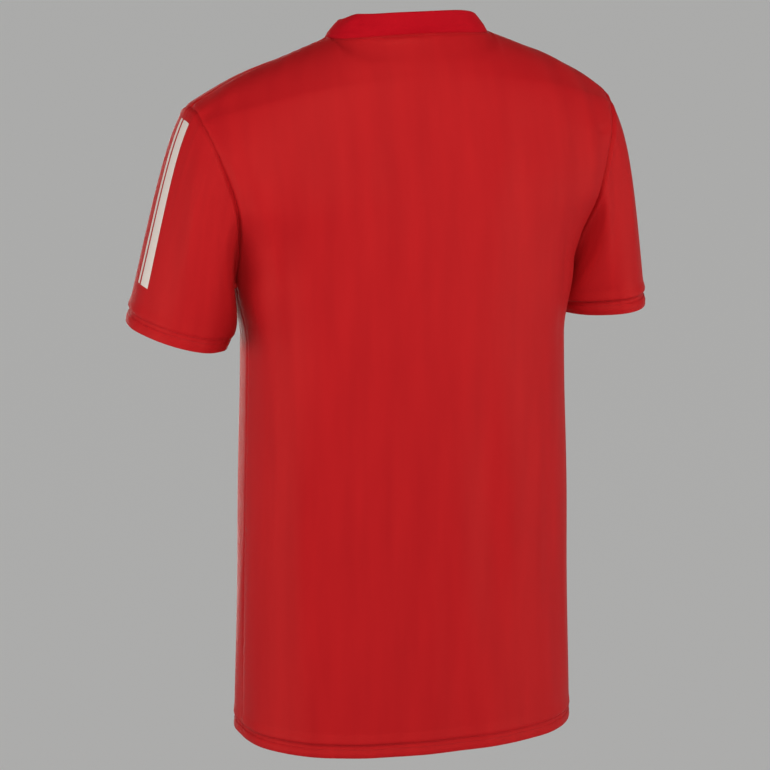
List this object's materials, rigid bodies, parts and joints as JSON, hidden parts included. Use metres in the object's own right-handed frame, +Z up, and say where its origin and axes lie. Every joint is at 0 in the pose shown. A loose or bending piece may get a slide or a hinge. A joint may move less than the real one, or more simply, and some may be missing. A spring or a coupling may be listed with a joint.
{
  "type": "football jersey",
  "caption": "Short-sleeved crew-neck football jersey of thin knitted cloth, hollow and filled out as worn, open at the neck, hem and cuffs.",
  "frame": {"origin": "in the middle of the neck opening, level with the neckband's ends of the shoulder seams and in the plane of the side seams, where the wearer's shoulders hold the jersey up", "axes": "+Z up, +X towards the wearer's left, +Y towards the wearer's back, so the front faces -Y"},
  "size_m": [0.554, 0.2505, 0.7491],
  "materials": {
    "jersey_knit": "smooth red polyester interlock knit with a soft sheen",
    "neckband_knit": "doubled red knit, a little denser than the body",
    "trim": "matt white pressed-on trim of the sleeves",
    "thread": "red polyester sewing thread"
  },
  "bodies": {
    "root": {"back": "jersey_knit", "front": "jersey_knit", "sleeve_left": "jersey_knit", "sleeve_right": "jersey_knit", "neckband": "neckband_knit"}
  },
  "joints": []
}
